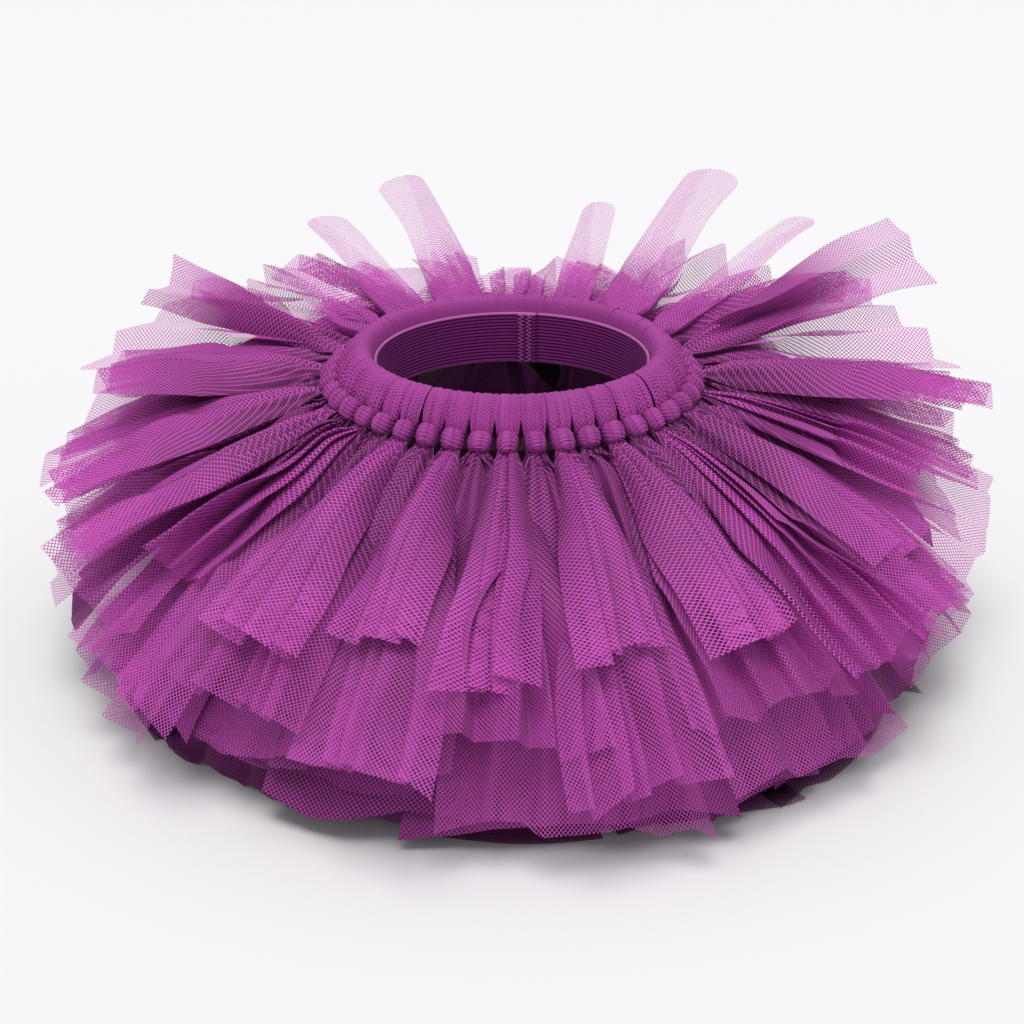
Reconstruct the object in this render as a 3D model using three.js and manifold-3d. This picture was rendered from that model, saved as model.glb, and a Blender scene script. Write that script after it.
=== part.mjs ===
// A knotted tulle tutu that stands by itself: a ring of ribbed elastic, and round it
// 44 cut strips of tulle, each rolled over the elastic, pinched by one knot and left as
// two loose tails. Millimetres and degrees, +Z up, the front towards -Y, floor at Z = 0.
import * as THREE from 'three';
import { mergeVertices } from 'three/addons/utils/BufferGeometryUtils.js';
import loadManifold from 'manifold-3d';

const wasm = await loadManifold();
wasm.setup();

// Driving dimensions
const rimHeight = 170; // the height that the rim's pieces are set out from
const stripCount = 44;
const firstStripAngle = -1.3; // the strip nearest the centre of the front
const seamGap = 0.3; // between neighbouring pieces
const joinTolerance = 0.02; // slivers finer than this are merged where pieces of one strip join
const clothWall = 1.2; // a tail's wall, its gathered layers together

const elastic = { innerRadius: 73, wall: 1.5, width: 30, drop: 3, ribs: 8, ribDepth: 0.5, facets: 40 };
const elasticLap = { middle: 8.5, width: 11, thick: 1.2 }; // the lapped end inside the centre back
// The tulle over the elastic: how far its line's ends and handles lie out from the elastic
// and over the rim's height, and how it sinks at the creases beside it
const roll = {
  tail: 30,
  inner: { out: 0, over: -8 },
  rise: { out: 0, over: 12 },
  shoulder: { out: 13.6, over: 8 },
  neck: { out: 19.5, over: -12.5 },
  segments: 7,
  crease: 1.6,
  dip: 0.7,
};
const knot = { radius: 98, drop: 15.5, length: 11.5, waist: 5, belly: 6, slope: -50, sides: 6 };
const root = { radius: 100, drop: 17.6, step: 1.7, halfWidth: 3.8 }; // where the tails leave the knot
// A tail keeps to its own strip's width for a first run, is widest past the spread share
// of the rest, and droops by so many degrees a millimetre
const tail = { ownRun: 30, spread: 0.75, knee: 0.42, droop: 0.07, flatRun: 12, foldDepth: 0.036 };
const unevenness = { hem: 0.035, length: 0.035, slope: 0.5, edge: 0.12, fold: 0.15 };
const roundTip = { shorter: 0.13, narrower: 0.7 };
const foot = { length: 12 }; // the lowest tails' ends, flat on the floor

const stripPitch = 360 / stripCount;

// Layers of tails from the top down. slope is that of a tail's chord in degrees above
// level, at the front and at the back, and it turns from one to the other between two
// angles from the front. length is along the tail at the front, side and back. span is a
// tail's width in strips, and a fold is one crest of the gathered wall.
const layers = {
  crown: { slope: [-25, 20], between: [55, 150], length: [128, 158, 130], span: 2, folds: 2 },
  upper: { slope: [-31, -3], between: [50, 145], length: [183, 168, 132], span: 2, folds: 2 },
  middle: { slope: [-40, -18], between: [52, 145], length: [195, 186, 180], span: 3.4, folds: 3 },
  inner: { slope: [-45, -31], between: [45, 145], length: [188, 186, 186], span: 2, folds: 2 },
  lining: { slope: [-46.5, -41], between: [45, 145], length: [186, 188, 188], span: 2, folds: 2 },
  floor: { slope: [-53, -53], between: [45, 145], length: [190, 190, 190], span: 3.6, folds: 3 },
};

// The kinds of strip in the order in which they repeat round the waist
const stripKinds = [
  ['crown', 'upper'],
  ['middle', 'inner'],
  ['crown', 'upper'],
  ['lining', 'floor'],
];

// Crown tails that stand out from the rest: the strip, its tail's slope and length, its
// turn to the side in degrees, its width in strips, the slope and length of the strip's
// other tail beneath it, and whether the crown tail's end is round
const crownTails = [
  { strip: 14, slope: 15, length: 150, turn: 2, span: 1.9, underSlope: 2, under: 155, round: false },
  { strip: 16, slope: 17, length: 150, turn: 2.5, span: 1.4, underSlope: 3, under: 138, round: true },
  { strip: 18, slope: 25, length: 152, turn: 1, span: 1.6, underSlope: 4, under: 102, round: true },
  { strip: 20, slope: 23, length: 118, turn: 2, span: 1.2, underSlope: 3, under: 100, round: true },
  { strip: 22, slope: 10, length: 66, turn: 0, span: 1.3, underSlope: -4, under: 118, round: true },
  { strip: 24, slope: 20, length: 155, turn: 2.5, span: 1.2, underSlope: 4, under: 104, round: true },
  { strip: 26, slope: 16, length: 132, turn: 0.5, span: 1.3, underSlope: 3, under: 120, round: true },
  { strip: 28, slope: 14, length: 92, turn: 0, span: 1.6, underSlope: 2, under: 135, round: true },
  { strip: 30, slope: 9, length: 155, turn: -1, span: 1.9, underSlope: 0, under: 150, round: false },
];

const tulle = new THREE.MeshStandardMaterial({ color: '#a5479f', roughness: 0.9, metalness: 0 });
const ribbedElastic = new THREE.MeshStandardMaterial({ color: '#7a2474', roughness: 0.8, metalness: 0 });

const radians = THREE.MathUtils.degToRad;
const degrees = THREE.MathUtils.radToDeg;
const mix = THREE.MathUtils.lerp;

// A repeatable unevenness between -1 and 1
function uneven(a, b = 0) {
  const wave = Math.sin(a * 12.9898 + b * 78.233) * 43758.5453;
  return 2 * (wave - Math.floor(wave)) - 1;
}

function toSolid(geometry) {
  const bare = geometry.clone();
  bare.deleteAttribute('normal');
  bare.deleteAttribute('uv');
  const merged = mergeVertices(bare, 1e-4);
  return new wasm.Manifold(
    new wasm.Mesh({
      numProp: 3,
      vertProperties: Float32Array.from(merged.attributes.position.array),
      triVerts: Uint32Array.from(merged.index.array),
    })
  );
}

function joined(geometries) {
  const solid = geometries.map(toSolid).reduce((sum, next) => sum.add(next));
  const { vertProperties, triVerts } = solid.simplify(joinTolerance).getMesh();
  const geometry = new THREE.BufferGeometry();
  geometry.setAttribute('position', new THREE.BufferAttribute(Float32Array.from(vertProperties), 3));
  geometry.setIndex([...triVerts]);
  geometry.computeVertexNormals();
  return geometry;
}

// Moves every point of a geometry to the place that a function gives for it
function shaped(geometry, place) {
  const points = geometry.attributes.position;
  const point = new THREE.Vector3();
  for (let i = 0; i < points.count; i += 1) {
    point.fromBufferAttribute(points, i);
    points.setXYZ(i, ...place(point));
  }
  return geometry;
}

// A point at a radius, a height and an angle from the front, in degrees
function around(radius, height, angle) {
  return [radius * Math.sin(radians(angle)), -radius * Math.cos(radians(angle)), height];
}

function angleFromFront(angle) {
  return Math.abs(((angle + 540) % 360) - 180);
}

function layerSlope(layer, angle) {
  const share = THREE.MathUtils.smoothstep(angleFromFront(angle), ...layer.between);
  return mix(...layer.slope, share);
}

function layerLength(layer, angle) {
  const [front, side, back] = layer.length;
  const quarters = angleFromFront(angle) / 90;
  return quarters < 1 ? mix(front, side, quarters) : mix(side, back, quarters - 1);
}

// The middle line of a tail: its slope falls evenly, so it is an arc. Gives the radius,
// height and slope at a distance from the root.
function arcPoint(run, startSlope, startHeight) {
  const steps = 12;
  let radius = root.radius;
  let height = startHeight;
  for (let i = 0; i < steps; i += 1) {
    const slope = radians(startSlope - (tail.droop * run * (i + 0.5)) / steps);
    radius += (Math.cos(slope) * run) / steps;
    height += (Math.sin(slope) * run) / steps;
  }
  return { radius, height, slope: radians(startSlope - tail.droop * run) };
}

// One tail as a folded wall. It is a box bent in three steps: across the strip to an
// angle round the waist, along it to the arc, and through it to the arc's normal.
function tailGeometry(index, layerName, placeInStrip) {
  const layer = layers[layerName];
  const layerSeed = Object.keys(layers).indexOf(layerName) + 1;
  const startHeight = rimHeight - root.drop - placeInStrip * root.step;
  const angle = firstStripAngle + index * stripPitch;
  const row = crownTails.find((each) => each.strip === index);
  const crown = layerName === 'crown' ? row : undefined;
  const onFloor = layerName === 'floor';
  const looseness = onFloor ? 0 : uneven(index, layerSeed);

  const plainSlope = layerSlope(layer, angle) + unevenness.slope * looseness;
  const chordSlope = (crown ? crown.slope : row?.underSlope) ?? plainSlope;
  const floorRun = (startHeight - clothWall / 2) / Math.sin(radians(-chordSlope));
  const cutLength = (crown ? crown.length : row?.under) ?? layerLength(layer, angle);
  const length = onFloor ? floorRun : cutLength * (1 + unevenness.length * looseness);
  const startSlope = chordSlope + (tail.droop * length) / 2;
  const stations = [0, tail.ownRun, mix(tail.ownRun, length, tail.knee), length];
  if (onFloor) stations.push(length + foot.length);

  const columns = 2 * layer.folds;
  const hem = stations.length - 1;
  const ownHalf = stripPitch / 2;
  const endHalf = ((crown?.span ?? layer.span) * stripPitch) / 2;
  const rootHalf = degrees(root.halfWidth / root.radius);
  const edgeTurn = (side) => unevenness.edge * stripPitch * uneven(index + side * layer.span * 0.5, 7);

  return shaped(new THREE.BoxGeometry(2, 1, 1, columns, hem, 1), ({ x, y, z }) => {
    const across = -x;
    const station = Math.round((y + 0.5) * hem);
    const column = Math.round(((across + 1) / 2) * columns);
    const roundHem = crown?.round && station === hem;
    const raggedHem = !roundHem && !onFloor && station === hem;
    const lies = onFloor && stations[station] >= length;

    let run = Math.min(stations[station], length);
    if (raggedHem) run *= 1 + unevenness.hem * uneven(index * 9 + column, layerSeed);
    if (roundHem) run *= 1 - roundTip.shorter * across * across;
    const arc = arcPoint(run, startSlope, startHeight);
    if (lies) {
      arc.radius += stations[station] - length;
      arc.height = clothWall / 2;
      arc.slope = 0;
    }

    const widening = (stations[station] - tail.ownRun) / (tail.spread * (length - tail.ownRun));
    const spread = THREE.MathUtils.clamp(widening, 0, 1);
    const narrower = roundHem ? roundTip.narrower : 1;
    const seam = degrees((0.5 * seamGap + 0.05) / arc.radius);
    const half = station === 0 ? rootHalf : mix(ownHalf, endHalf, spread) * narrower - seam;
    const turn = crown ? crown.turn : edgeTurn(Math.sign(across)) * Math.abs(across);

    const crest = column % 2 === 0 ? -1 : 1;
    const foldUnevenness = 1 + unevenness.fold * uneven(index + column, 3);
    const depth = lies ? 0 : tail.foldDepth * Math.max(0, run - tail.flatRun) * foldUnevenness;
    const lift = crest * depth + z * clothWall;
    const radius = arc.radius - lift * Math.sin(arc.slope);
    const height = arc.height + lift * Math.cos(arc.slope);
    return around(radius, height, across * half + spread * turn);
  });
}

// The tulle rolled over the elastic: a line from the elastic over a crest down to the knot,
// swept across one strip's width and fuller in its middle than at the creases beside it
function rollGeometry() {
  const inside = elastic.innerRadius + elastic.wall + seamGap;
  const at = ({ out, over }) => new THREE.Vector2(inside + out, rimHeight + over);
  const line = new THREE.CubicBezierCurve(at(roll.inner), at(roll.rise), at(roll.shoulder), at(roll.neck));
  const section = new THREE.Shape([
    new THREE.Vector2(inside, rimHeight - roll.tail),
    ...line.getPoints(roll.segments),
  ]);
  const swept = new THREE.ExtrudeGeometry(section, { depth: 2, steps: 2, bevelEnabled: false });
  return shaped(swept, ({ x, y, z }) => {
    const across = 1 - z;
    const crease = roll.crease * across * across * ((x - inside) / roll.neck.out);
    const drop = y > rimHeight ? roll.dip * across * across : 0;
    const half = stripPitch / 2 - degrees((0.5 * seamGap) / x);
    return around(x - crease, y - drop, across * half);
  });
}

// The wound knot: a barrel whose axis leans down and out
function knotGeometry() {
  const profile = [
    new THREE.Vector2(0, -knot.length / 2),
    new THREE.Vector2(knot.waist, -knot.length / 2),
    new THREE.Vector2(knot.belly, 0),
    new THREE.Vector2(knot.waist, knot.length / 2),
    new THREE.Vector2(0, knot.length / 2),
  ];
  const barrel = new THREE.LatheGeometry(profile, knot.sides);
  barrel.rotateY(radians(180 / knot.sides));
  barrel.rotateX(radians(90));
  barrel.rotateX(radians(knot.slope));
  barrel.translate(...around(knot.radius, rimHeight - knot.drop, 0));
  return barrel;
}

function elasticGeometry() {
  const { innerRadius, wall, width, drop, ribs, ribDepth, facets } = elastic;
  const top = rimHeight - drop;
  const inside = [];
  for (let rib = 0; rib < ribs; rib += 1) {
    inside.push(new THREE.Vector2(innerRadius, top - (width * (rib + 0.5)) / ribs));
    inside.push(new THREE.Vector2(innerRadius + ribDepth, top - (width * (rib + 1)) / ribs));
  }
  const profile = [
    new THREE.Vector2(innerRadius + wall, top - width),
    new THREE.Vector2(innerRadius + wall, top),
    new THREE.Vector2(innerRadius + ribDepth, top),
    ...inside,
  ];
  profile.push(profile[0].clone());
  const band = new THREE.LatheGeometry(profile, facets);
  band.rotateX(radians(90));

  const lap = shaped(new THREE.BoxGeometry(elasticLap.width, 1, width - 1, 3, 1, 1), ({ x, y, z }) => {
    const radius = innerRadius + (y > 0 ? 0.6 * wall : -elasticLap.thick);
    const angle = 180 - degrees((x + elasticLap.middle) / innerRadius);
    return around(radius, top - width / 2 + z, angle);
  });
  return joined([band, lap]);
}

const garment = new THREE.Group();

const band = new THREE.Mesh(elasticGeometry(), ribbedElastic);
band.name = 'elastic_band';
garment.add(band);

for (let index = 0; index < stripCount; index += 1) {
  const tails = stripKinds[index % stripKinds.length].map((name, place) => tailGeometry(index, name, place));
  const strip = new THREE.Mesh(joined([rollGeometry(), knotGeometry(), ...tails]), tulle);
  strip.name = `strip_${String(index + 1).padStart(2, '0')}`;
  strip.rotation.z = radians(firstStripAngle + index * stripPitch);
  garment.add(strip);
}

// The origin goes to the middle of the underside
garment.updateMatrixWorld(true);
const extent = new THREE.Box3();
garment.traverse((object) => {
  if (object.isMesh) extent.expandByObject(object, true);
});
const middle = extent.getCenter(new THREE.Vector3());
garment.position.set(-middle.x, -middle.y, -extent.min.z);

export default garment;
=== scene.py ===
import bmesh
import bpy
import math
import numpy as np
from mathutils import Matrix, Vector


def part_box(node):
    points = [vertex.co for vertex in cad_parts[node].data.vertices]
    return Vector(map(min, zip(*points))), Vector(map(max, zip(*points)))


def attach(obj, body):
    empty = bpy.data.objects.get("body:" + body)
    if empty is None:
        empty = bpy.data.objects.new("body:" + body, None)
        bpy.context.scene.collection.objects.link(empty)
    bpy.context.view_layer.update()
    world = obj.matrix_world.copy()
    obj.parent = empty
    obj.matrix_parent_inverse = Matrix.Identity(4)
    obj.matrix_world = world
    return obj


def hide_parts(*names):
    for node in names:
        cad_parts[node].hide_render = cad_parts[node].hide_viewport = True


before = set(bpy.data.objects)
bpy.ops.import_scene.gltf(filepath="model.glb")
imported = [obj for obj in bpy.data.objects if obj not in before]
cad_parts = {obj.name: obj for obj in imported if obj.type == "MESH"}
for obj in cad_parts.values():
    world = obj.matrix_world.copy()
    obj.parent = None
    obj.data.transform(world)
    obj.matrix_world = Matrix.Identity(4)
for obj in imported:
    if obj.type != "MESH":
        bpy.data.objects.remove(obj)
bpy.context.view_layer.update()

# Everything is worked out in millimetres round the waist's own axis, then set down in metres.
mm = 0.001
bandLow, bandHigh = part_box("elastic_band")
waistX = (bandLow.x + bandHigh.x) / 2 / mm
waistY = (bandLow.y + bandHigh.y) / 2 / mm
bandTop = bandHigh.z / mm
rimHeight = bandTop + 3
scene = bpy.context.scene
mathNode, mixNode, ofColours = "ShaderNodeMath", "ShaderNodeMix", {"data_type": "RGBA"}


def linear(hexCode):
    # sRGB hex to linear red, green, blue, alpha
    values = [int(hexCode[i : i + 2], 16) / 255 for i in (1, 3, 5)]
    return [v / 12.92 if v <= 0.04045 else ((v + 0.055) / 1.055) ** 2.4 for v in values] + [1.0]


def addNode(tree, kind, settings=None, links=None):
    # one node, its settings and its inputs: a number or colour is a value, a socket is a link
    node = tree.nodes.new(kind)
    for name, value in (settings or {}).items():
        setattr(node, name, value)
    for name, value in (links or {}).items():
        if isinstance(value, bpy.types.NodeSocket):
            tree.links.new(value, node.inputs[name])
        else:
            node.inputs[name].default_value = value
    return node


def newMaterial(name):
    material = bpy.data.materials.new(name)
    material.use_nodes = True
    material.node_tree.nodes.clear()
    return material, material.node_tree


def ease(low, high, x):
    t = np.clip((x - low) / (high - low), 0, 1)
    return t * t * (3 - 2 * t)


# Nylon tulle: fine knitted thread round open six-sided holes, crisp, with a faint silky sheen.
tulleLook = {
    "meshWide": 2.2,  # mm from hole to hole across the strip
    "meshLong": 2.5,
    "thread": 0.24,  # share of the spacing that is thread, drawn about double so that it shows
    "threadColour": "#CE57BE",
    # the holes' tones, from haze to a dark ground as layers gather, are painted shade of the layers behind
    "hazeColour": "#AA439D",
    "holeShadeColour": "#5A064F",
    "closing": 1.5,  # the holes are shut where gather is above 1 over this
    "shade": 0.4,  # brightness left by painted shade on the tier that lies deepest
    "patches": 30.0,  # lighter and darker patches about 30 mm across, and how dark and light they are
    "patchLow": 0.88,
    "patchHigh": 1.1,
    "roughness": 0.65,
    "specular": 0.25,
    "sheen": 0.12,
    "sheenColour": "#E39BDC",
}


def tulleMaterial():
    # The holes are the gaps between two families of slanting lines on the cloth's own map. Where
    # "gather" is above 0, more layers lie behind: the holes close and show a darker ground, which is
    # painted shade of the layers behind. Where it is below 0, the cloth is single and stretched open,
    # so its threads cover less. "under" is how deep a tier lies among the others, where thread and
    # ground are both darkened as painted shade, for the shadow of the cloth above.
    material, tree = newMaterial("nylonTulle")
    look = tulleLook
    uv = addNode(tree, "ShaderNodeUVMap", {"uv_map": "cloth"})
    split = addNode(tree, "ShaderNodeSeparateXYZ", links={0: uv.outputs[0]})
    wide = addNode(tree, mathNode, {"operation": "DIVIDE"}, {0: split.outputs[0], 1: look["meshWide"]})
    tall = addNode(tree, mathNode, {"operation": "DIVIDE"}, {0: split.outputs[1], 1: look["meshLong"]})
    lines = []
    for operation in ("ADD", "SUBTRACT"):
        slant = addNode(tree, mathNode, {"operation": operation}, {0: wide.outputs[0], 1: tall.outputs[0]})
        part = addNode(tree, mathNode, {"operation": "FRACT"}, {0: slant.outputs[0]})
        line = addNode(tree, mathNode, {"operation": "LESS_THAN"}, {0: part.outputs[0], 1: look["thread"]})
        lines.append(line.outputs[0])
    thread = addNode(tree, mathNode, {"operation": "MAXIMUM"}, {0: lines[0], 1: lines[1]}).outputs[0]
    gather = addNode(tree, "ShaderNodeAttribute", {"attribute_name": "gather"}).outputs["Fac"]
    clamped = {"operation": "ADD", "use_clamp": True}
    finer = addNode(tree, mathNode, clamped, {0: gather, 1: 1.0})
    clamped = {"operation": "MULTIPLY", "use_clamp": True}
    closing = addNode(tree, mathNode, clamped, {0: gather, 1: look["closing"]})
    lace = addNode(tree, mathNode, {"operation": "MULTIPLY"}, {0: thread, 1: finer.outputs[0]})
    cover = addNode(tree, mathNode, {"operation": "MAXIMUM"}, {0: lace.outputs[0], 1: closing.outputs[0]})
    # painted shade in the holes, darker where more layers lie behind
    tones = {0: gather, 6: linear(look["hazeColour"]), 7: linear(look["holeShadeColour"])}
    holeShade = addNode(tree, mixNode, ofColours, tones)
    tones = {0: thread, 6: holeShade.outputs[2], 7: linear(look["threadColour"])}
    tone = addNode(tree, mixNode, ofColours, tones)
    place = addNode(tree, "ShaderNodeTexCoord").outputs["Object"]
    grain = {"Vector": place, "Scale": look["patches"], "Detail": 3.0}
    patches = addNode(tree, "ShaderNodeTexNoise", links=grain)
    span = {"From Min": 0.3, "From Max": 0.7, "To Min": look["patchLow"], "To Max": look["patchHigh"]}
    value = addNode(tree, "ShaderNodeMapRange", links={"Value": patches.outputs["Fac"], **span})
    # painted shade: deeper tiers and edges tucked under neighbours are darkened, for the shadow of the cloth
    # above
    under = addNode(tree, "ShaderNodeAttribute", {"attribute_name": "under"}).outputs["Fac"]
    span = {"To Min": 1.0, "To Max": look["shade"]}
    shade = addNode(tree, "ShaderNodeMapRange", links={"Value": under, **span})
    level = addNode(tree, mathNode, {"operation": "MULTIPLY"}, {0: value.outputs[0], 1: shade.outputs[0]})
    shaded = {"Value": level.outputs[0], "Color": tone.outputs[2]}
    patchesAndShade = addNode(tree, "ShaderNodeHueSaturation", links=shaded)
    shader = addNode(
        tree,
        "ShaderNodeBsdfPrincipled",
        links={
            "Base Color": patchesAndShade.outputs[0],
            "Roughness": look["roughness"],
            "Alpha": cover.outputs[0],
            "Sheen Weight": look["sheen"],
            "Sheen Tint": linear(look["sheenColour"]),
            "Specular IOR Level": look["specular"],
        },
    )
    addNode(tree, "ShaderNodeOutputMaterial", links={"Surface": shader.outputs[0]})
    return material


def toPiece(name, patches, material, welded=False):
    # patches are (points, cloth map, gather) grids, with how deep they lie for painted shade if that
    # isn't 0; each goes in as quads between its rows and columns
    points, maps, gathers, paintedShadeDepths, faces, start = [], [], [], [], [], 0
    for grid, cloth, gather, *under in patches:
        rows, columns = grid.shape[:2]
        ids = np.arange(rows * columns).reshape(rows, columns) + start
        quads = np.stack([ids[:-1, :-1], ids[1:, :-1], ids[1:, 1:], ids[:-1, 1:]], axis=-1)
        faces.append(quads.reshape(-1, 4))
        points.append(grid.reshape(-1, 3))
        maps.append(cloth.reshape(-1, 2))
        gathers.append(np.broadcast_to(gather, (rows, columns)).reshape(-1))
        paintedShadeDepths.append(np.broadcast_to(under[0] if under else 0.0, (rows, columns)).reshape(-1))
        start += rows * columns
    points = (np.concatenate(points) + [waistX, waistY, 0]) * mm
    faces = np.concatenate(faces)
    mesh = bpy.data.meshes.new(name)
    mesh.from_pydata(points.tolist(), [], faces.tolist())
    mesh.uv_layers.new(name="cloth")
    mesh.uv_layers["cloth"].data.foreach_set("uv", np.concatenate(maps)[faces.reshape(-1)].reshape(-1))
    for attributeName, values in (("gather", gathers), ("under", paintedShadeDepths)):
        attribute = mesh.attributes.new(attributeName, "FLOAT", "POINT")
        attribute.data.foreach_set("value", np.concatenate(values).astype(np.float32))
    if welded:
        work = bmesh.new()
        work.from_mesh(mesh)
        bmesh.ops.remove_doubles(work, verts=work.verts, dist=0.001 * mm)
        work.to_mesh(mesh)
        work.free()
    mesh.shade_smooth()
    mesh.materials.append(material)
    piece = bpy.data.objects.new(name, mesh)
    scene.collection.objects.link(piece)
    return piece


def around(radius, height, angle):
    # radius, height and angle from the front, in radians, to x, y, z
    return np.stack([radius * np.sin(angle), -radius * np.cos(angle), height + 0 * angle], axis=-1)


# The strips, as the construction has them: slopes are of a tail's chord, lengths along it
strips = {
    "count": 44,
    "firstAngle": -1.3,
    "width": 150.0,  # the cut strip
    "loop": 62.0,  # length taken up by the roll and the knot
    "rootRadius": 100.0,
    "rootDrop": 17.6,
    "rootStep": 1.7,
    "rootHalf": 4.8,
    "droop": 0.07,
    "slant": 0.045,  # share of its length by which a tail's one edge is longer than the other
    "jag": 0.026,  # and by which a fold's corner stands out of the hem
    "foldDepth": 1.0,
    "floorRun": 190.0,  # where the lowest tails turn out and lie flat
    "puff": 9.0,  # mm by which a tail's middle stands out near the knot
    "twist": 11.0,  # degrees
    "tuckShade": 0.8,  # how dark painted shade makes its edges near the knot
    "crimp": 0.6,  # mm, and so are the waver and the sway
    "waver": 0.8,
    "sway": 1.6,
    "bunch": 56.0,  # length and slope of a bent-back strip's free end
    "bunchSlope": 9.0,
}
pitch = 360 / strips["count"]
# fan is the share of its length by which a tail is at its widest, own its half width near the
# knot in half pitches, uneven the share of its length by which it is longer or shorter. From
# opens to closed, in shares of the length, its layers part: gather goes from most to haze.
# under is how much painted shade darkens a tier, for the shadow of the tiers above it.
layers = {
    "crown": dict(slope=(-25, 20), between=(55, 150), length=(137, 156, 130), span=1.9, fan=0.55, own=1.0)
    | dict(netShare=1.8, uneven=0.21, opens=0.3, closed=0.95, most=0.84, haze=-0.2, under=0.0),
    "upper": dict(slope=(-31, -3), between=(50, 145), length=(181, 165, 130), span=2.4, fan=0.6, own=1.15)
    | dict(netShare=1.8, uneven=0.09, opens=0.35, closed=0.95, most=0.92, haze=-0.15, under=0.2),
    "middle": dict(slope=(-40, -18), between=(52, 145), length=(192, 179, 174), span=4.2, fan=0.5, own=1.3)
    | dict(netShare=2.0, uneven=0.07, opens=0.62, closed=1.02, most=1.0, haze=0.0, under=0.42),
    "inner": dict(slope=(-45, -31), between=(45, 145), length=(186, 174, 176), span=4.3, fan=0.3, own=1.5)
    | dict(netShare=2.0, uneven=0.05, opens=0.6, closed=1.0, most=1.0, haze=0.75, under=0.5),
    "lining": dict(slope=(-46.5, -41), between=(45, 145), length=(184, 176, 178), span=5.2, fan=0.18, own=2.1)
    | dict(netShare=2.0, uneven=0.04, opens=0.6, closed=1.0, most=1.0, haze=1.0, under=0.55),
    "floor": dict(slope=(-53, -53), between=(45, 145), length=(197, 197, 197), span=4.6, fan=0.3, own=1.6)
    | dict(netShare=2.0, uneven=0.035, opens=0.86, closed=1.1, most=1.0, haze=0.0, under=0.85),
}
stripKinds = [("crown", "upper"), ("middle", "inner"), ("crown", "upper"), ("lining", "floor")]
# tube is half the width of a round-ended tail, panel half that of a flat one with a square end
crownTails = {
    14: dict(slope=15, length=158, turn=2, underSlope=2, under=155, panel=24, twist=48),
    16: dict(slope=17, length=150, turn=2.5, underSlope=3, under=138, tube=11),
    18: dict(slope=25, length=154, turn=1, underSlope=8, under=112, tube=17, underTurn=-4),
    20: dict(slope=23, length=118, turn=2, underSlope=2, under=100, tube=11),
    22: dict(slope=10, length=70, turn=0, underSlope=-4, under=116, tube=12),
    24: dict(slope=20, length=155, turn=2.5, underSlope=3, under=104, tube=14),
    26: dict(slope=16, length=132, turn=0.5, underSlope=3, under=120, tube=13),
    28: dict(slope=14, length=92, turn=0, underSlope=2, under=135, tube=13),
    30: dict(slope=9, length=158, turn=-1, underSlope=0, under=150, panel=21, twist=-45),
}


def arc(run, startSlope, startHeight):
    # a slope that falls evenly with the run, integrated: radius, height and slope in radians
    fall = math.radians(strips["droop"])
    start = math.radians(startSlope)
    slope = start - fall * run
    radius = strips["rootRadius"] + (np.sin(start) - np.sin(slope)) / fall
    height = startHeight + (np.cos(slope) - np.cos(start)) / fall
    return radius, height, slope


def pleated(t, width, spread, edges, depth):
    # Knife pleats across the cloth: wide panels that show and narrow ones that turn back
    # under them. Opening runs from 0, folded flat, to 1, spread flat, and each row takes the
    # one that gives its spread, from a short table of the widths that the angles leave.
    panels = len(edges) - 1
    count = np.interp(t[0], edges, np.arange(panels + 1))[None, :]
    turnedBack = ease(-0.12, 0.12, -np.sin(np.pi * count))
    opening = np.linspace(0, 1, 50)[:, None]

    def direction(open):
        shown = 0.1 + 0.55 * np.sin(np.pi * open)
        back = -0.95 * np.pi * (1 - open)
        return shown * (1 - turnedBack) + back * turnedBack

    reach = np.cos(direction(opening)).mean(axis=1)
    want = np.clip(spread / width, reach.min() + 0.01, 0.98)
    openings = np.interp(want[:, 0], np.maximum.accumulate(reach), opening[:, 0])[:, None]
    step = width / (t.shape[1] - 1)
    x = np.cumsum(np.cos(direction(openings)), axis=1) * step
    y = np.cumsum(np.sin(direction(openings)), axis=1) * step
    y = y - y[:, :1] - (y[:, -1:] - y[:, :1]) * (t + 1) / 2
    x = x - (x.max(axis=1, keepdims=True) + x.min(axis=1, keepdims=True)) / 2
    y = y - (y.max(axis=1, keepdims=True) + y.min(axis=1, keepdims=True)) / 2
    x = x * spread / np.maximum(x.max(axis=1, keepdims=True) - x.min(axis=1, keepdims=True), 1)
    return x, y * depth


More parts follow.
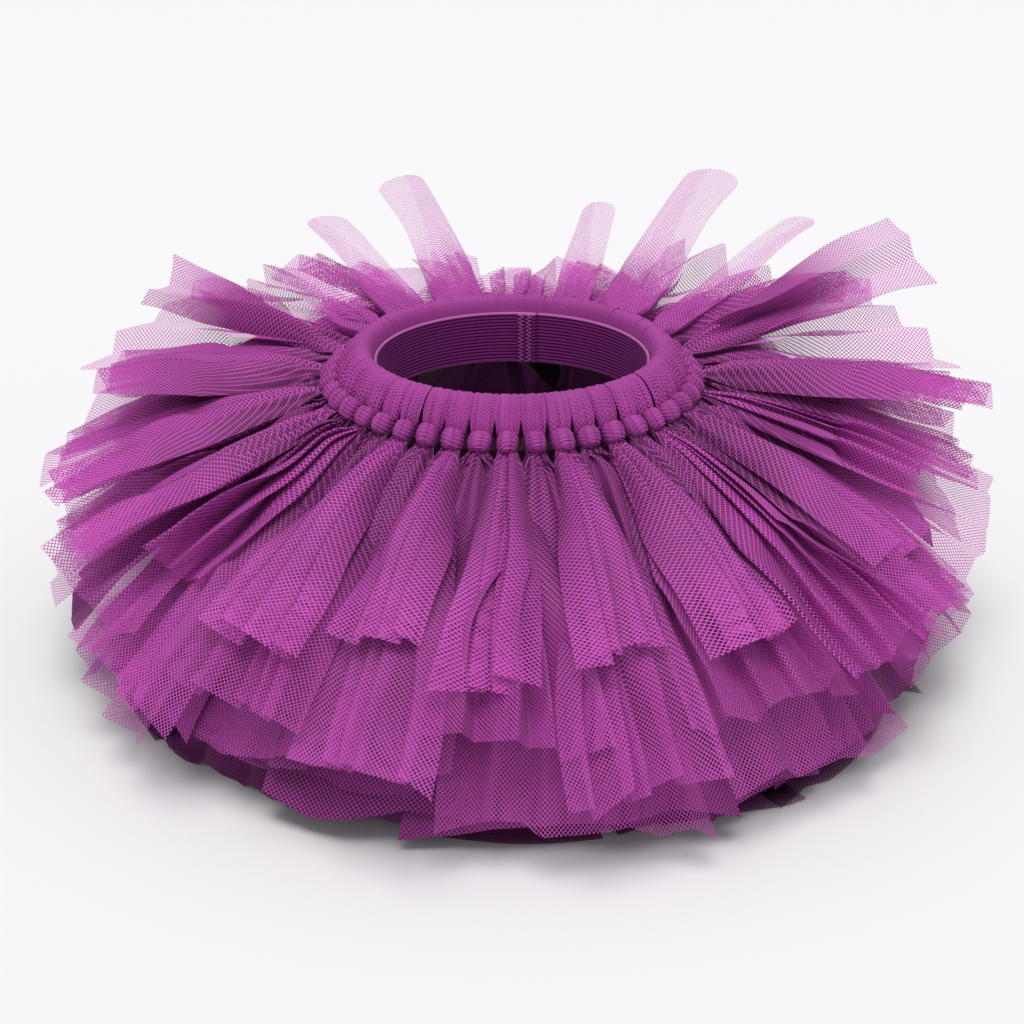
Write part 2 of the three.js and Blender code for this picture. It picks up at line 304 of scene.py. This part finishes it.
def foldedTail(layer, startSlope, startHeight, length, halfAngle, turn, seed, rest=False):
    # A fan of pleats, puffed near the knot, where the cloth is also gathered into fine crimps
    # and so takes less width; each fold's corner stands a little out of the cut end
    random = np.random.default_rng(seed)
    folds = layer.get("folds") or int(random.integers(3, 5))
    width = layer.get("width", strips["width"])
    rows, columns = 34, 15 * folds + 19
    share = np.linspace(0, 1, rows)[:, None] ** 1.25
    t = np.linspace(-1, 1, columns)[None, :]
    shown, back = random.uniform(0.6, 1.5, folds + 1), random.uniform(0.35, 0.85, folds)
    widths = np.empty(2 * folds + 1)
    widths[0::2], widths[1::2] = shown, back
    widths = widths if random.uniform() < 0.5 else widths[::-1]
    edges = np.concatenate([[0], np.cumsum(widths)]) / widths.sum() * 2 - 1
    mirrored = 1 if random.uniform() < 0.5 else -1
    corners = random.uniform(-1, 1, len(edges))
    jag = np.interp(t, edges, corners)
    uneven = layer["uneven"] * random.uniform(-1, 1) + strips["slant"] * random.uniform(-1, 1) * t
    hem = 1 + (0.7 if rest else 1) * (uneven + strips["jag"] * jag) + 0.02 * t**2
    run = share * length * hem
    radius, height, slope = arc(run, startSlope, startHeight)
    if rest:
        over = np.maximum(run - strips["floorRun"], 0)
        radius, height, slope = arc(np.minimum(run, strips["floorRun"]), startSlope, startHeight)
        radius, slope = radius + over, slope * (over == 0)
    along = run[:, columns // 2][:, None]
    out = radius[:, columns // 2][:, None]
    own = math.radians(pitch / 2) * layer["own"]
    rootHalf = strips["rootHalf"] / strips["rootRadius"]
    opening = np.clip((along - 8) / (layer["fan"] * random.uniform(0.7, 1.3) * length), 0, 1) ** 0.85
    half = rootHalf + (own - rootHalf) * ease(0, 14, along) + (halfAngle - own) * opening
    released = width * (0.3 + 0.7 * ease(0, 65, along))
    x, y = pleated(t, released, 2 * half * out, edges, strips["foldDepth"])
    x = x * mirrored
    crimp = np.sin(t * 31 + random.uniform(0, 6)) + 0.7 * np.sin(t * 47 + random.uniform(0, 6))
    y = y + strips["crimp"] * crimp * ease(0, 8, along) * (1 - ease(15, 72, run))
    puff = strips["puff"] * random.uniform(0.6, 1.3) * ease(2, 26, along) * (1 - ease(45, 140, along))
    y = y + puff * (1 - np.minimum(np.abs(x / (half * out)), 1) ** 2.0) - puff / 2
    turnOver = layer.get("twist", 3 + strips["twist"] * random.uniform(-1, 1))
    twist = np.radians(turnOver) * ease(10, 0.7 * length, along)
    x, y = x * np.cos(twist) - y * np.sin(twist), x * np.sin(twist) + y * np.cos(twist)
    phase = random.uniform(0, 6, 4)
    waver = np.sin(run / 17 + phase[0] + 2.5 * t) + np.sin(run / 11 + phase[1] - 4 * t)
    y = y + strips["waver"] * ease(30, 120, run) * waver
    x = x + strips["sway"] * ease(30, 90, run) * np.sin(run / 29 + phase[2] + 3 * t)
    angle = x / radius + math.radians(turn) * ease(20, length, run)
    liftedRadius = radius - y * np.sin(slope)
    liftedHeight = np.maximum(height + y * np.cos(slope), 0.5)
    points = around(liftedRadius, liftedHeight, angle)
    cloth = np.stack([t * np.minimum(width / 2, layer["netShare"] * half * out), run], axis=-1)
    shut = 1 - ease(layer["opens"] * length, layer["closed"] * length, run)
    tuckedShade = np.abs(t) ** 2.5 * (1 - ease(10, 0.9 * length, run))  # painted shade on its edges, where they lie under its neighbours'
    gather = np.maximum(shut * layer["most"], layer["haze"])
    return points, cloth, gather, layer["under"] + strips["tuckShade"] * tuckedShade


# The round-ended tails at the back, in mm
loops = {
    "rootHalf": 4.6,
    "baseShare": 0.85,  # of the end's half width
    "baseMore": 2.5,
    "rootThick": 3.6,
    "endThick": 1.4,
    "crumple": 0.75,
    "wave": 2.2,
    "dense": 0.66,  # gather at the knot, and how far it falls towards the end
    "thinning": 0.6,
    "turnedIn": 0.3,  # and how much denser the turned-in edge is
}


def loopedTail(startSlope, startHeight, length, halfWidth, turn, seed):
    # A strip's end bent back on itself: a flattened tube, broad and crumpled where it leaves
    # the knot, narrower and open towards a round end, which closes as a half circle does. A
    # turned-in edge shows as a second layer on one side of a slanting line.
    random = np.random.default_rng(seed)
    rows, columns = 52, 57
    run = np.linspace(0, 1, rows)[:, None] ** 0.9 * length
    psi = np.linspace(0, 2 * np.pi, columns)[None, :]
    radius, height, slope = arc(run, startSlope, startHeight)
    end = length - halfWidth
    closing = np.sqrt(np.clip(1 - (np.maximum(run - end, 0) / halfWidth) ** 2, 0, 1))
    root = loops["rootHalf"]
    base = loops["baseShare"] * halfWidth + loops["baseMore"]
    wide = root + (base - root) * ease(0, 24, run) + (halfWidth - base) * ease(24, 0.85 * length, run)
    wide = wide * closing
    thinned = (loops["rootThick"] - loops["endThick"]) * ease(20, 0.8 * length, run)
    thick = (loops["rootThick"] - thinned) * closing
    phase = random.uniform(0, 6, 5)
    crumple = np.sin(3 * psi + phase[0] + run / 14) + np.sin(5 * psi + phase[1] - run / 9) * 0.9
    crumple = crumple + 0.8 * np.sin(7 * psi + phase[2] + run / 6)
    x = wide * np.cos(psi) * (1 + 0.05 * np.sin(run / 17 + phase[3]))
    crumpled = loops["crumple"] * (1 - ease(0.15 * length, 0.7 * length, run)) * ease(0, 10, run)
    y = thick * np.sin(psi) + crumple * crumpled
    lean = math.radians(random.uniform(-16, 16)) * ease(10, 0.8 * length, run)
    x, y = x * np.cos(lean) - y * np.sin(lean), x * np.sin(lean) + y * np.cos(lean)
    y = y + loops["wave"] * np.sin(run / 24 + phase[4]) * ease(0, 60, run)
    angle = x / radius + math.radians(turn) * ease(0, length, run)
    points = around(radius - y * np.sin(slope), height + y * np.cos(slope), angle)
    cloth = np.stack([halfWidth * psi / np.pi * 2 + 0 * run, run + 0 * psi], axis=-1) * 1.15
    side = 1 if random.uniform() < 0.5 else -1
    turnedIn = ease(-0.04, 0.04, side * np.cos(psi) + 1.0 - 1.5 * run / length) * (np.sin(psi) > 0)
    gather = loops["dense"] * (1 - ease(4, 0.42 * length, run))
    gather = gather - loops["thinning"] * ease(0.2 * length, 0.6 * length, run)
    gather = gather + loops["turnedIn"] * turnedIn * ease(0.1 * length, 0.4 * length, run)
    return points, cloth, gather


# The roll over the elastic and the wound knot
rollShape = {
    "inside": (74.9, -8.0),  # ends and handles of the roll's curved line: radius, height over the rim
    "rise": (74.9, 12.0),
    "shoulder": (88.5, 8.0),
    "neck": (94.6, -12.5),
    "low": (75.2, -29.0),
    "centre": (83.0, -12.0),  # its gathers stand out from this point
    "neckHalf": 5.4,
    "ridge": 0.6,
    "sink": 1.3,  # how far it falls away at its edges
    "gather": 0.69,
}
knotShape = {
    "radius": 98.2,
    "drop": 14.4,
    "length": 12.4,
    "waist": 2.4,
    "belly": 5.9,
    "slope": -50,
    "turns": 6,
    "groove": 0.6,
    "gather": 0.85,
}


def rolledLoop(seed):
    # A closed line, from the elastic over the roll's crest down to the knot and back under,
    # swept across one strip; at the crest neighbours meet, and towards the knot each strip
    # narrows to a rounded neck. Fine gathers run along the line.
    random = np.random.default_rng(seed)
    shape = rollShape
    ends = [np.array(shape[name]) for name in ("inside", "rise", "shoulder", "neck")]
    u = np.linspace(0, 1, 30)[:, None]
    weights = ((1 - u) ** 3, 3 * (1 - u) ** 2 * u, 3 * (1 - u) * u**2, u**3)  # a cubic Bezier line's
    top = sum(weight * end for weight, end in zip(weights, ends))
    back = np.linspace(0, 1, 7)[1:, None]
    low = np.array([shape["low"]])
    section = np.concatenate([top, top[-1:] + (low - top[-1:]) * back, low + (top[:1] - low) * back])
    section = section[:, None, :]
    progress = np.concatenate([u, 1 - back, 0 * back])
    across = np.linspace(-1, 1, 41)[None, :]
    waves = 0
    for weight, turns in ((1.0, 2.3), (0.8, 4.1), (0.6, 7.3)):
        wander = random.uniform(0, 6) + 0.8 * np.sin(progress * 4 + random.uniform(0, 6))
        waves = waves + weight * np.sin(across * turns * np.pi + wander)
    neck = ease(0.78, 1.06, progress)
    outward = section - np.array(shape["centre"])
    outward = outward / np.linalg.norm(outward, axis=-1, keepdims=True)
    gathered = 0.3 * ease(0, 0.3, progress) + 0.7 * ease(0.4, 0.8, progress)
    parted = 0.45 * ease(0.15, 0.6, progress) + 0.8 * neck
    proud = shape["ridge"] * waves * gathered - shape["sink"] * parted * np.abs(across) ** 2.6
    proud = proud + 1.6 * neck * (1 - neck)
    r = section[..., 0] + outward[..., 0] * proud
    z = rimHeight + section[..., 1] + outward[..., 1] * proud
    full = math.radians(pitch / 2) * 1.02
    half = full + (shape["neckHalf"] / ends[3][0] - full) * neck
    curl = np.pi / 2 * (0.55 + 0.45 * neck)
    points = around(r, z, np.sin(across * curl) / np.sin(curl) * half)
    length = np.arange(section.shape[0])[:, None] * 1.3
    cloth = np.stack([across * 12 + 0 * length, length * 1.5 + 0 * across], axis=-1)
    return points[::-1], cloth[::-1], shape["gather"]


def woundKnot(seed):
    # A bead round an axis that leans down and out, its radius a soft swell with fine windings
    # that climb once round for each turn
    random = np.random.default_rng(seed)
    shape = knotShape
    v = np.linspace(0, 1, 46)[:, None]
    psi = np.linspace(0, 2 * np.pi, 33)[None, :]
    swell = np.sqrt(np.clip(1 - (2 * v - 1) ** 2, 0, 1))
    swell = shape["waist"] + (shape["belly"] - shape["waist"]) * swell
    lean = random.uniform(0.6, 1.2) * (1 if random.uniform() < 0.6 else -1)
    climb = shape["turns"] * v + lean * np.sin(psi + 0.6) + psi / (2 * np.pi)
    windings = np.abs(np.sin(np.pi * climb))
    closing = np.clip(np.minimum(v, 1 - v) * 9, 0, 1) ** 0.5
    radius = (swell - shape["groove"] * (1 - windings**0.8)) * closing
    radius = radius * (1 + 0.06 * np.sin(2 * psi + random.uniform(0, 6)))
    along = (v - 0.5) * shape["length"] * random.uniform(0.92, 1.06) + 0 * psi
    side = radius * np.cos(psi) + along * 0.12 * random.uniform(-1, 1)
    out = radius * np.sin(psi)
    slope = math.radians(shape["slope"])
    r = shape["radius"] + along * math.cos(slope) - out * math.sin(slope)
    z = rimHeight - shape["drop"] + along * math.sin(slope) + out * math.cos(slope)
    points = around(r, z, side / r)
    cloth = np.stack([psi * 1.1 + 0 * v, v * 40 + psi * 1.4], axis=-1)
    return points, cloth, shape["gather"]


def turned(patch, angle):
    points, *rest = patch
    c, s = math.cos(angle), math.sin(angle)
    x, y = points[..., 0].copy(), points[..., 1].copy()
    points[..., 0] = c * x - s * y
    points[..., 1] = s * x + c * y
    return points, *rest


def tailOf(index, place, name):
    # slope, length and width of one tail from its layer and its angle round the waist
    layer = layers[name]
    special = crownTails.get(index, {})
    fromFront = abs((strips["firstAngle"] + index * pitch + 540) % 360 - 180)
    toBack = float(ease(layer["between"][0], layer["between"][1], fromFront))
    slope = layer["slope"][0] + (layer["slope"][1] - layer["slope"][0]) * toBack
    length = float(np.interp(fromFront, [0, 90, 180], layer["length"]))
    startHeight = rimHeight - strips["rootDrop"] - place * strips["rootStep"]
    seed = 1000 * (place + 1) + index
    halfAngle = math.radians(layer["span"] * pitch / 2)
    halfAngle = halfAngle * np.random.default_rng(seed + 7).uniform(0.8, 1.2)
    if name in ("crown", "upper"):
        halfAngle *= 1 + 0.5 * math.exp(-(((fromFront - 100) / 38) ** 2))  # broader at the sides
    turn = 0
    if name in ("crown", "upper"):
        turn = np.random.default_rng(seed + 8).uniform(-2.2, 2.2)
    if special and name == "crown":
        slope, length, turn = special["slope"], special["length"], special["turn"]
    elif special:
        slope, length, turn = special["underSlope"], special["under"], special.get("underTurn", 0)
        layer = dict(layer, haze=-0.2, opens=-0.2, closed=0.75, most=0.75, under=0)
    startSlope = slope + strips["droop"] * min(length, 190) / 2
    if name == "crown" and "tube" in special:
        flatWidth = 4 * special["tube"]
        patch = loopedTail(startSlope, startHeight, length, special["tube"], turn, seed)
    elif name == "crown" and "panel" in special:
        flatWidth = 2.2 * special["panel"]
        panel = dict(layer, folds=1, width=flatWidth, twist=special["twist"])
        halfAngle = special["panel"] / (strips["rootRadius"] + length)
        patch = foldedTail(panel, startSlope, startHeight, length, halfAngle, turn, seed)
    else:
        flatWidth = strips["width"]
        startSlope += {0: 0.8, 2: -0.5}.get(index % 4, 0) if name in ("crown", "upper") else 0
        patch = foldedTail(layer, startSlope, startHeight, length, halfAngle, turn, seed, name == "floor")
    if name == "crown" and "tube" in special:
        # the strip's free end comes back to the knot and stands there as a crumpled bunch
        bunch = dict(layer, span=2.2, haze=0.0, opens=-0.2, closed=1.0, most=0.75, fan=0.5, folds=3)
        returned = strips["bunch"] * np.random.default_rng(seed + 9).uniform(0.75, 1.1)
        halfAngle = math.radians(bunch["span"] * pitch / 2)
        more = foldedTail(bunch, strips["bunchSlope"], startHeight - 1, returned, halfAngle, 0, seed + 50)
        return [patch, more], length, flatWidth * length + 0.5 * strips["width"] * returned
    return [patch], length, flatWidth * length


def makeStrips(material):
    for index in range(strips["count"]):
        tails = [tailOf(index, place, name) for place, name in enumerate(stripKinds[index % 4])]
        patches = [rolledLoop(index + 1), woundKnot(index + 101)]
        patches += [patch for made, _, _ in tails for patch in made]
        patches = [turned(patch, math.radians(strips["firstAngle"] + index * pitch)) for patch in patches]
        piece = toPiece(f"tulle_strip_{index + 1:02d}", patches, material)
        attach(piece, "root")
        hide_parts(f"strip_{index + 1:02d}")
        flat = (strips["width"] * mm, (strips["loop"] + sum(length for _, length, _ in tails)) * mm)
        # this area is that of the net modelled, which is less than the cut's
        used = (strips["loop"] * 25 + sum(area for _, _, area in tails)) * mm * mm
        used = min(used, flat[0] * flat[1])


tulle = tulleMaterial()
makeStrips(tulle)
print("strips made")

# Ribbed woven elastic: matt, with fine ribs along the band, painted shade in the grooves between them and a
# paler thread on its edge
elasticLook = {
    "radius": 73.0,
    "wall": 1.5,
    "width": 30.0,
    "ribs": 15,
    "ribDepth": 0.55,
    "weave": 1.1,  # mm from yarn to yarn along the band
    "lapFrom": 3.0,  # mm to the right of the centre back
    "lapTo": 14.0,
    "lapThick": 1.2,
    "colour": "#8F2C86",
    # the groove's tone is painted shade between the ribs
    "groove": "#3A0839",
    "edge": "#B768AF",
    "roughness": 0.75,
    "specular": 0.2,
    "sheen": 0.08,
}
# Two zigzag seams hold the lapped end
stitchLook = {"columns": (5.2, 9.8), "swing": 1.7, "pitch": 2.3, "radius": 0.42, "colour": "#A5409C"}


def elasticMaterial():
    # "gather" is 0 in a groove, 1 on a rib and 2 on the edge, the groove's dark tone being painted shade
    # between the ribs; a fine wave is the weave's bump
    material, tree = newMaterial("wovenRibElastic")
    look = elasticLook
    uv = addNode(tree, "ShaderNodeUVMap", {"uv_map": "cloth"})
    split = addNode(tree, "ShaderNodeSeparateXYZ", links={0: uv.outputs[0]})
    turns = {0: split.outputs[0], 1: 2 * math.pi / look["weave"]}
    times = addNode(tree, mathNode, {"operation": "MULTIPLY"}, turns)
    weave = addNode(tree, mathNode, {"operation": "SINE"}, {0: times.outputs[0]}).outputs[0]
    level = addNode(tree, "ShaderNodeAttribute", {"attribute_name": "gather"}).outputs["Fac"]
    tones = {0: level, 6: linear(look["groove"]), 7: linear(look["colour"])}
    body = addNode(tree, mixNode, ofColours, tones)
    over = addNode(tree, mathNode, {"operation": "SUBTRACT", "use_clamp": True}, {0: level, 1: 1.0})
    tones = {0: over.outputs[0], 6: body.outputs[2], 7: linear(look["edge"])}
    tone = addNode(tree, mixNode, ofColours, tones)
    bump = addNode(tree, "ShaderNodeBump", links={"Height": weave, "Strength": 0.3, "Distance": 0.0003})
    shader = addNode(
        tree,
        "ShaderNodeBsdfPrincipled",
        links={
            "Base Color": tone.outputs[2],
            "Roughness": look["roughness"],
            "Normal": bump.outputs[0],
            "Sheen Weight": look["sheen"],
            "Sheen Tint": linear(tulleLook["sheenColour"]),
            "Specular IOR Level": look["specular"],
        },
    )
    addNode(tree, "ShaderNodeOutputMaterial", links={"Surface": shader.outputs[0]})
    return material


def threadMaterial():
    # Polyester sewing thread: a little smoother and lighter than the elastic
    material, tree = newMaterial("polyesterThread")
    place = addNode(tree, "ShaderNodeTexCoord").outputs["Object"]
    grain = addNode(tree, "ShaderNodeTexNoise", links={"Vector": place, "Scale": 1800.0}).outputs["Fac"]
    bump = addNode(tree, "ShaderNodeBump", links={"Height": grain, "Strength": 0.3, "Distance": 0.0002})
    shader = addNode(
        tree,
        "ShaderNodeBsdfPrincipled",
        links={"Base Color": linear(stitchLook["colour"]), "Roughness": 0.5, "Normal": bump.outputs[0]},
    )
    addNode(tree, "ShaderNodeOutputMaterial", links={"Surface": shader.outputs[0]})
    return material


def makeElastic(material):
    # A closed line, down the ribs and up the plain outer side, carried once round the waist;
    # the lapped end stands in from it over a short stretch at the back.
    look = elasticLook
    down = np.linspace(0, 1, 121)[:, None]
    rib = np.abs(np.sin(np.pi * look["ribs"] * down)) ** 0.7
    lapEdges = np.array([look["lapFrom"], look["lapFrom"] + 0.4, look["lapTo"] - 0.4, look["lapTo"]])
    angle = np.concatenate([np.linspace(0, 2 * np.pi, 361), np.pi - lapEdges / look["radius"]])
    angle = np.sort(angle)[None, :]
    back = (np.pi - angle) * look["radius"]
    lap = ease(look["lapFrom"] - 0.05, look["lapFrom"] + 0.4, back)
    lap = lap * (1 - ease(look["lapTo"] - 0.4, look["lapTo"] + 0.05, back))
    outside = look["radius"] + look["wall"] + 0 * angle
    inner = look["radius"] + look["ribDepth"] * (1 - rib) - look["lapThick"] * lap
    top, bottom = bandTop + 0 * angle, bandTop - look["width"] + 0 * angle
    radius = np.concatenate([outside, outside - 0.5, inner, outside - 0.5, outside, outside])
    innerHeight = top - 0.4 - (look["width"] - 0.8) * down
    height = np.concatenate([top - 0.4, top, innerHeight, bottom, bottom + 0.4, top - 0.4])
    points = around(radius, height, angle + 0 * radius)
    length = np.linspace(0, 1, radius.shape[0])[:, None] * 64
    cloth = np.stack([angle * look["radius"] + 0 * length, length + 0 * angle], axis=-1)
    edge = 2 + 0 * angle
    edging = 1 - ease(0.012, 0.03, np.minimum(down, 1 - down))
    shade = np.concatenate([edge, edge, rib + (2 - rib) * edging + 0 * angle, edge, edge, edge])
    # painted shadow on the band just past the lapped end's edge
    shade = shade * (1 - 0.75 * np.exp(-(((back - look["lapTo"] - 0.5) / 0.7) ** 2)))
    patches = [(points[:, ::-1], cloth[:, ::-1], shade[:, ::-1])]
    piece = toPiece("waist_elastic", patches, material, welded=True)
    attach(piece, "root")
    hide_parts("elastic_band")


def makeStitches(material):
    # A round thread along each zigzag: the line swings from side to side as it goes down
    look = stitchLook
    patches = []
    for column in look["columns"]:
        s = np.linspace(0.03, 0.97, 260)
        down = s * elasticLook["width"]
        swing = 2 * np.abs(2 * ((down / look["pitch"]) % 1) - 1) - 1
        angle = np.pi - (column + look["swing"] * swing) / elasticLook["radius"]
        radius = elasticLook["radius"] - elasticLook["lapThick"] - 0.25 - 0.2 * (1 - swing**2)
        path = around(radius, bandTop - down, angle)
        tangent = np.gradient(path, axis=0)
        tangent = tangent / np.linalg.norm(tangent, axis=1, keepdims=True)
        inward = np.stack([-np.sin(angle), np.cos(angle), 0 * angle], axis=-1)
        sideways = np.cross(tangent, inward)
        sideways = sideways / np.linalg.norm(sideways, axis=1, keepdims=True)
        up = np.cross(sideways, tangent)
        psi = np.linspace(0, 2 * np.pi, 9)[None, :, None]
        ring = look["radius"] * (np.cos(psi) * sideways[:, None, :] + np.sin(psi) * up[:, None, :])
        grid = path[:, None, :] + ring
        cloth = np.stack([psi[..., 0] + 0 * down[:, None], down[:, None] + 0 * psi[..., 0]], axis=-1)
        patches.append((grid, cloth, 1.0))
    piece = toPiece("elastic_stitches", patches, material)
    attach(piece, "root")


makeElastic(elasticMaterial())
makeStitches(threadMaterial())
print("elastic made")

# Camera at the photograph's angle, pale floor, soft light
cameraLook = {"distance": 1049.6, "rise": 371.5, "down": 24.0, "lens": 72.18}
floorLook = {"size": 90.0, "colour": "#F1F1F4"}
sunLook = {"from": (-0.12, -0.65, 2.9), "softness": 34, "strength": 2.05, "colour": (1, 0.985, 0.975)}
skyStrength = 0.45


def makeCamera():
    data = bpy.data.cameras.new("photographView")
    camera = bpy.data.objects.new("photographView", data)
    scene.collection.objects.link(camera)
    data.lens = cameraLook["lens"]
    data.sensor_width = 36
    data.sensor_fit = "HORIZONTAL"
    camera.location = Vector((waistX, waistY - cameraLook["distance"], rimHeight + cameraLook["rise"])) * mm
    camera.rotation_euler = (math.radians(90 - cameraLook["down"]), 0, 0)
    scene.camera = camera


def makeStudio():
    mesh = bpy.data.meshes.new("floor")
    half = floorLook["size"] / 2
    corners = [(-half, -half, 0), (half, -half, 0), (half, half, 0), (-half, half, 0)]
    mesh.from_pydata(corners, [], [(0, 1, 2, 3)])
    floor = bpy.data.objects.new("floor", mesh)
    scene.collection.objects.link(floor)
    material, tree = newMaterial("paleFloor")
    shader = addNode(
        tree,
        "ShaderNodeBsdfPrincipled",
        links={"Base Color": linear(floorLook["colour"]), "Roughness": 0.9, "Specular IOR Level": 0.1},
    )
    addNode(tree, "ShaderNodeOutputMaterial", links={"Surface": shader.outputs[0]})
    mesh.materials.append(material)
    sun = bpy.data.lights.new("softKey", "SUN")
    sun.angle = math.radians(sunLook["softness"])
    sun.energy = sunLook["strength"]
    sun.color = sunLook["colour"]
    lamp = bpy.data.objects.new("softKey", sun)
    scene.collection.objects.link(lamp)
    lamp.rotation_euler = Vector(sunLook["from"]).to_track_quat("Z", "Y").to_euler()
    world = bpy.data.worlds.new("studio")
    scene.world = world
    world.use_nodes = True
    background = world.node_tree.nodes["Background"]
    background.inputs[0].default_value = (1, 1, 1, 1)
    background.inputs[1].default_value = skyStrength
    scene.view_settings.view_transform = "Standard"
    scene.cycles.transparent_max_bounces = 20  # so many sheets of net may lie one behind the other


makeCamera()
makeStudio()
print("studio made")
